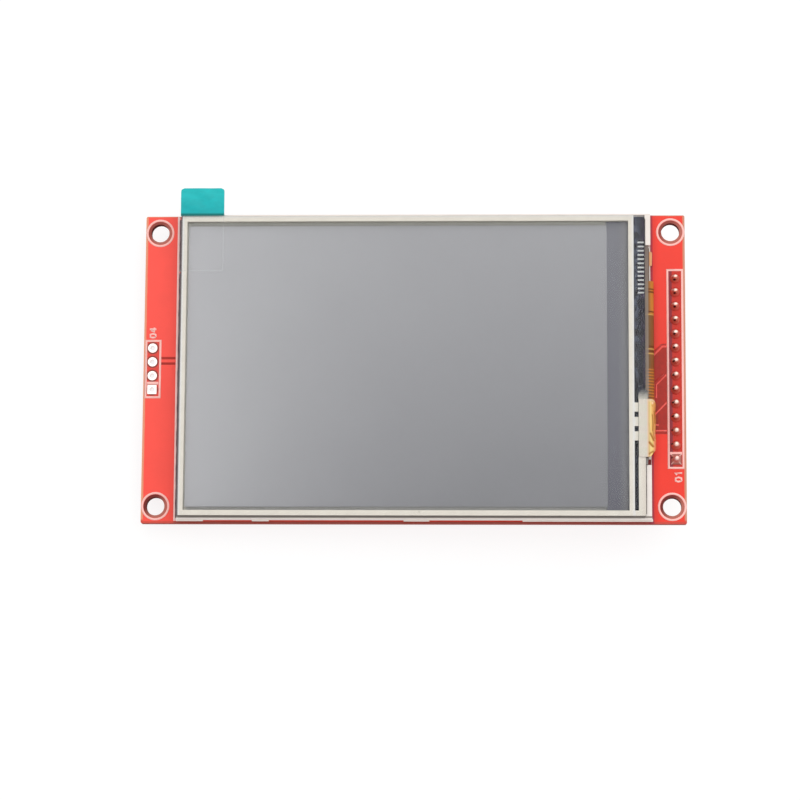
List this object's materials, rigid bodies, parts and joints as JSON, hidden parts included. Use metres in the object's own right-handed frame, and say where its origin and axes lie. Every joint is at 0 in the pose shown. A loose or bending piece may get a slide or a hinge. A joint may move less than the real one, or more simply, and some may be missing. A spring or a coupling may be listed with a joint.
{
  "type": "tft display module",
  "caption": "Flat colour screen with a resistive touch panel on a red circuit board, with a pin header, a card socket and four mounting holes.",
  "frame": {"origin": "centre of the rectangle of four mounting holes, on the back face of the circuit board", "axes": "+X along the board from the card header to the pin header, +Y across it towards the pull tab's edge, +Z out of the screen"},
  "size_m": [0.098, 0.0607, 0.0144],
  "materials": {
    "board_red": "red solder mask over glass-fibre laminate, with darker copper-free edges",
    "tinned_copper": "tinned copper, bright and slightly uneven",
    "solder": "shiny tin solder with smooth hollow flanks",
    "header_plastic": "black moulded plastic, fine matte texture",
    "gold_pin": "thin gold plating on square wire",
    "socket_plastic": "black moulded plastic",
    "socket_steel": "stamped stainless steel, faint rolling grain",
    "chip_epoxy": "black moulded epoxy, fine grain",
    "tinned_lead": "tinned lead frame",
    "resistor_glaze": "black glaze on white ceramic",
    "capacitor_ceramic": "tan sintered ceramic",
    "white_tape": "white double-sided foam tape",
    "frame_white": "white moulded polycarbonate, warm tone, satin",
    "reflector_white": "white reflector film",
    "clear_acrylic": "clear acrylic with a dot pattern",
    "diffuser_white": "hazy white film",
    "prism_film": "clear film with fine ridges",
    "black_tape": "black adhesive tape, faint wrinkles",
    "lamp_flex": "amber polyimide strip",
    "lamp_phosphor": "white lamp body with yellow phosphor",
    "polariser_grey": "grey polariser with a soft anti-glare haze",
    "screen_glass": "thin glass over a dark pixel layer",
    "driver_silicon": "polished silicon",
    "amber_polyimide": "amber polyimide with copper tracks",
    "gasket_foam": "white foam adhesive",
    "touch_glass": "clear float glass",
    "border_cream": "cream printed border",
    "touch_film": "clear film with a hard, slightly hazy coat",
    "yellow_polyimide": "glossy yellow polyimide, creased",
    "cover_film": "clear protective film",
    "tab_teal": "teal film with slight creases"
  },
  "bodies": {
    "root": {"circuit_board": "board_red", "header_pads": "tinned_copper", "card_header_pads": "tinned_copper", "header_body": "header_plastic", "header_pins": "gold_pin", "header_solder": "solder", "card_socket_base": "socket_plastic", "card_socket_shell": "socket_steel", "card_socket_contacts": "gold_pin", "touch_controller": "chip_epoxy", "touch_controller_leads": "tinned_lead", "regulator": "chip_epoxy", "regulator_leads": "tinned_lead", "lamp_transistor": "chip_epoxy", "lamp_transistor_leads": "tinned_lead", "resistor_bodies": "resistor_glaze", "resistor_caps": "tinned_lead", "capacitor_bodies": "capacitor_ceramic", "capacitor_caps": "tinned_lead", "mounting_tape": "white_tape", "reflector_film": "reflector_white", "backlight_frame": "frame_white", "light_guide": "clear_acrylic", "diffuser_film": "diffuser_white", "lower_prism_film": "prism_film", "upper_prism_film": "prism_film", "rim_tape": "black_tape", "lamp_strip": "lamp_flex", "lamps": "lamp_phosphor", "rear_polariser": "polariser_grey", "lower_glass": "screen_glass", "upper_glass": "screen_glass", "front_polariser": "polariser_grey", "driver_chip": "driver_silicon", "ledge_tape": "black_tape", "screen_ribbon": "amber_polyimide", "ribbon_solder": "solder", "touch_gasket": "gasket_foam", "touch_glass": "touch_glass", "touch_border": "border_cream", "touch_film": "touch_film", "touch_ribbon": "yellow_polyimide", "protective_film": "cover_film", "pull_tab": "tab_teal"}
  },
  "joints": []
}
